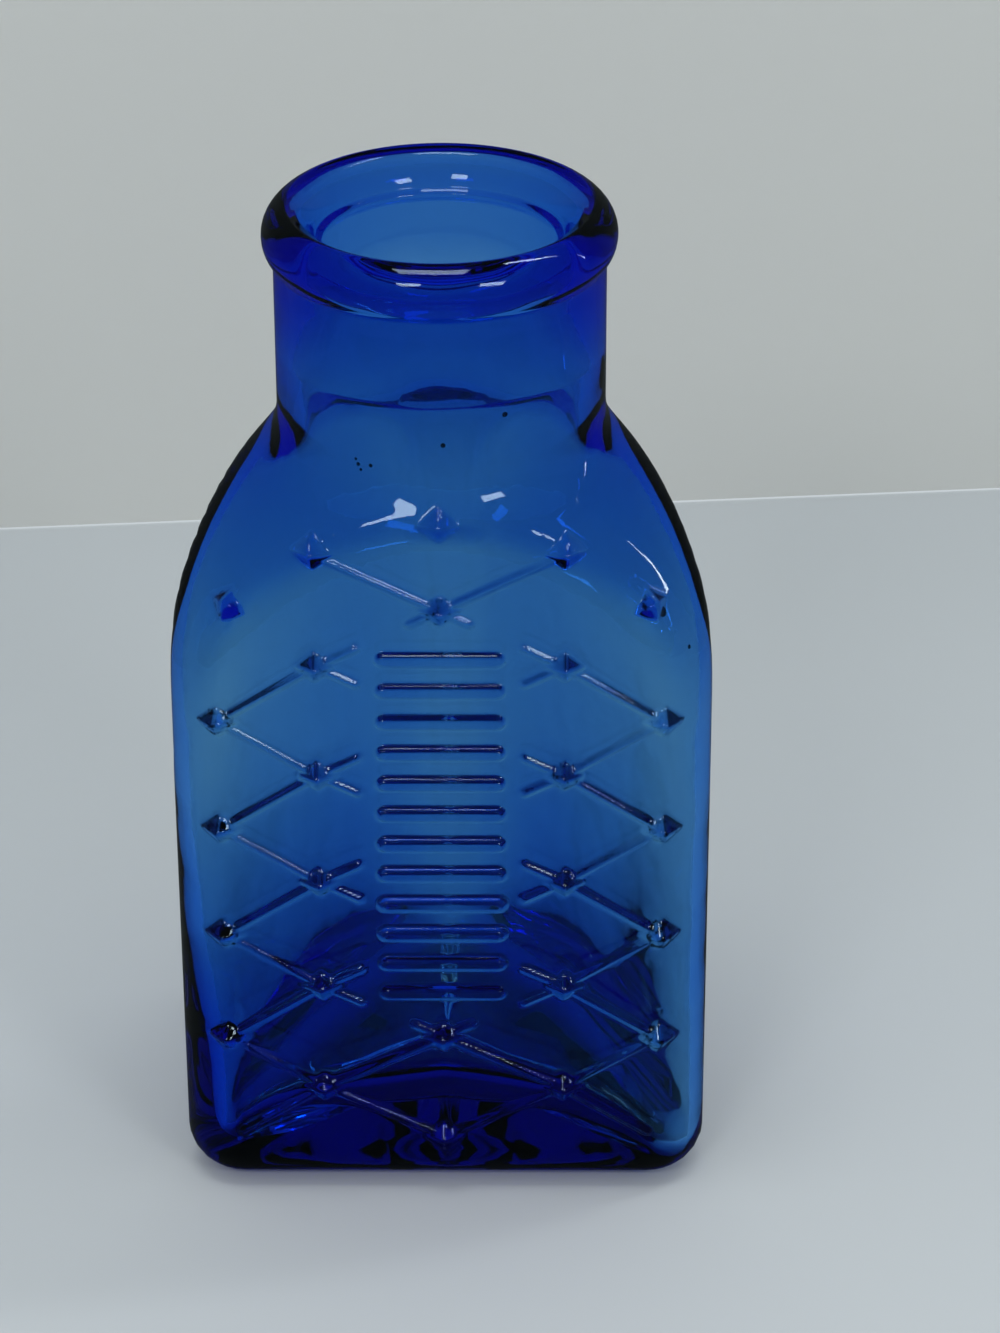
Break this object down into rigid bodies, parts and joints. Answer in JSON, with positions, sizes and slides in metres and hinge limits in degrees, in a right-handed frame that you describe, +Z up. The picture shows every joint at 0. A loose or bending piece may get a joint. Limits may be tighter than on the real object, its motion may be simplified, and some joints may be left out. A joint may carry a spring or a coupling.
{
  "type": "poison bottle",
  "caption": "Three-sided blue glass tablet bottle with a round neck, rolled lip, studs and thin ridges on its front, and a column of plain tactile bars.",
  "frame": {"origin": "on the neck's axis, in the plane of the base the bottle stands on", "axes": "+Z up through the mouth, -Y out of the studded front, +Y to the plain rear corner, +X to the right seen from the front"},
  "size_m": [0.0447, 0.0412, 0.0857],
  "materials": {
    "cobalt_glass": "fire-polished moulded glass, deep cobalt blue, clear, with a few seed bubbles"
  },
  "bodies": {
    "root": {"body": "cobalt_glass", "neck": "cobalt_glass", "lip": "cobalt_glass", "studs": "cobalt_glass", "ridges": "cobalt_glass", "bars": "cobalt_glass"}
  },
  "joints": []
}
